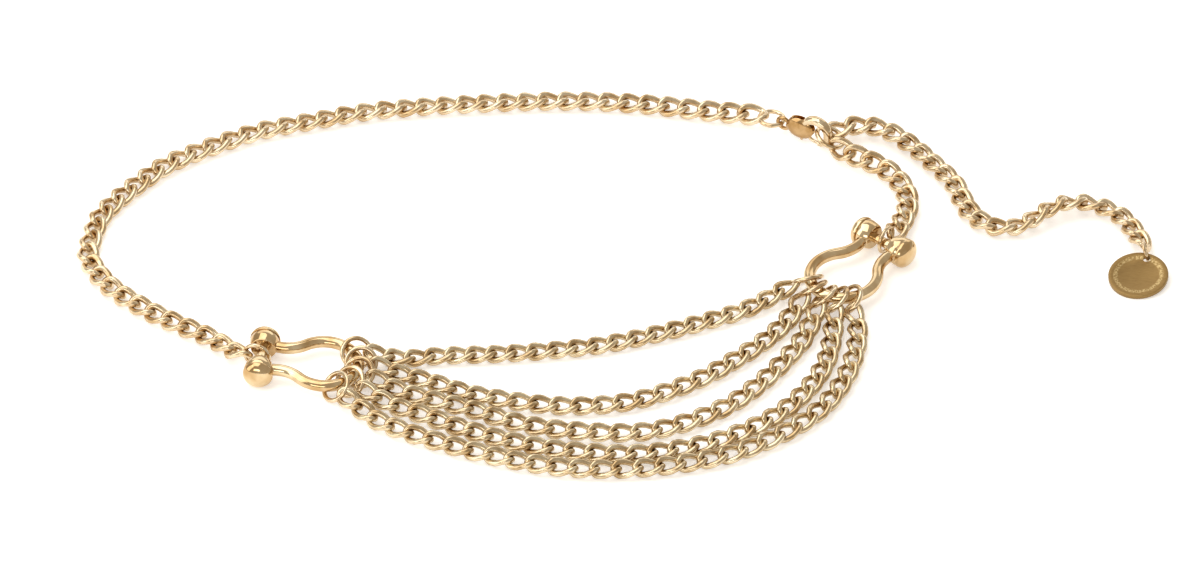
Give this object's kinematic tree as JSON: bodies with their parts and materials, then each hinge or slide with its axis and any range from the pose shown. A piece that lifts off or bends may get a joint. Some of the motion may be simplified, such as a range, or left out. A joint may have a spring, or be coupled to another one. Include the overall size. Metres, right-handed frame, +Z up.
{
  "type": "waist chain",
  "caption": "Waist chain of twisted curb links closed by a lobster clasp, with finer strands hung in swags between shackles and a free end that carries a round disc tag.",
  "frame": {"origin": "middle of the space that the waist goes through, on the surface that the chain lies on", "axes": "+X from the shackle at one end of the strands along the chain towards its tag, +Y from the strands towards the back of the waist, +Z up from the surface"},
  "size_m": [0.3985, 0.2146, 0.0131],
  "materials": {
    "chain_gold": "polished",
    "strand_gold": "polished",
    "shackle_gold": "polished",
    "ring_gold": "polished",
    "clasp_gold": "polished",
    "tag_gold": "satin"
  },
  "bodies": {
    "chain": {"main_chain": "chain_gold", "side_chain": "chain_gold", "tail_chain": "chain_gold", "strand_1": "strand_gold", "strand_2": "strand_gold", "strand_3": "strand_gold", "strand_4": "strand_gold", "strand_5": "strand_gold", "left_bow": "shackle_gold", "left_pin": "shackle_gold", "left_end_ring": "shackle_gold", "left_rings": "ring_gold", "right_bow": "shackle_gold", "right_pin": "shackle_gold", "right_end_ring": "shackle_gold", "right_rings": "ring_gold", "clasp_ring": "ring_gold", "clasp_body": "clasp_gold", "tag_ring": "ring_gold", "tag": "tag_gold"},
    "lever": {"clasp_lever": "clasp_gold"}
  },
  "joints": [
    {"name": "lever_swing", "type": "hinge", "parent": "chain", "child": "lever", "pos_m": [0.11094, 0.0813, 0.0033], "axis": [-0.5, -0.866, 0], "range_deg": [0, 22], "stiffness_Nm_per_rad": 0.002, "springref_deg": -17.19}
  ]
}
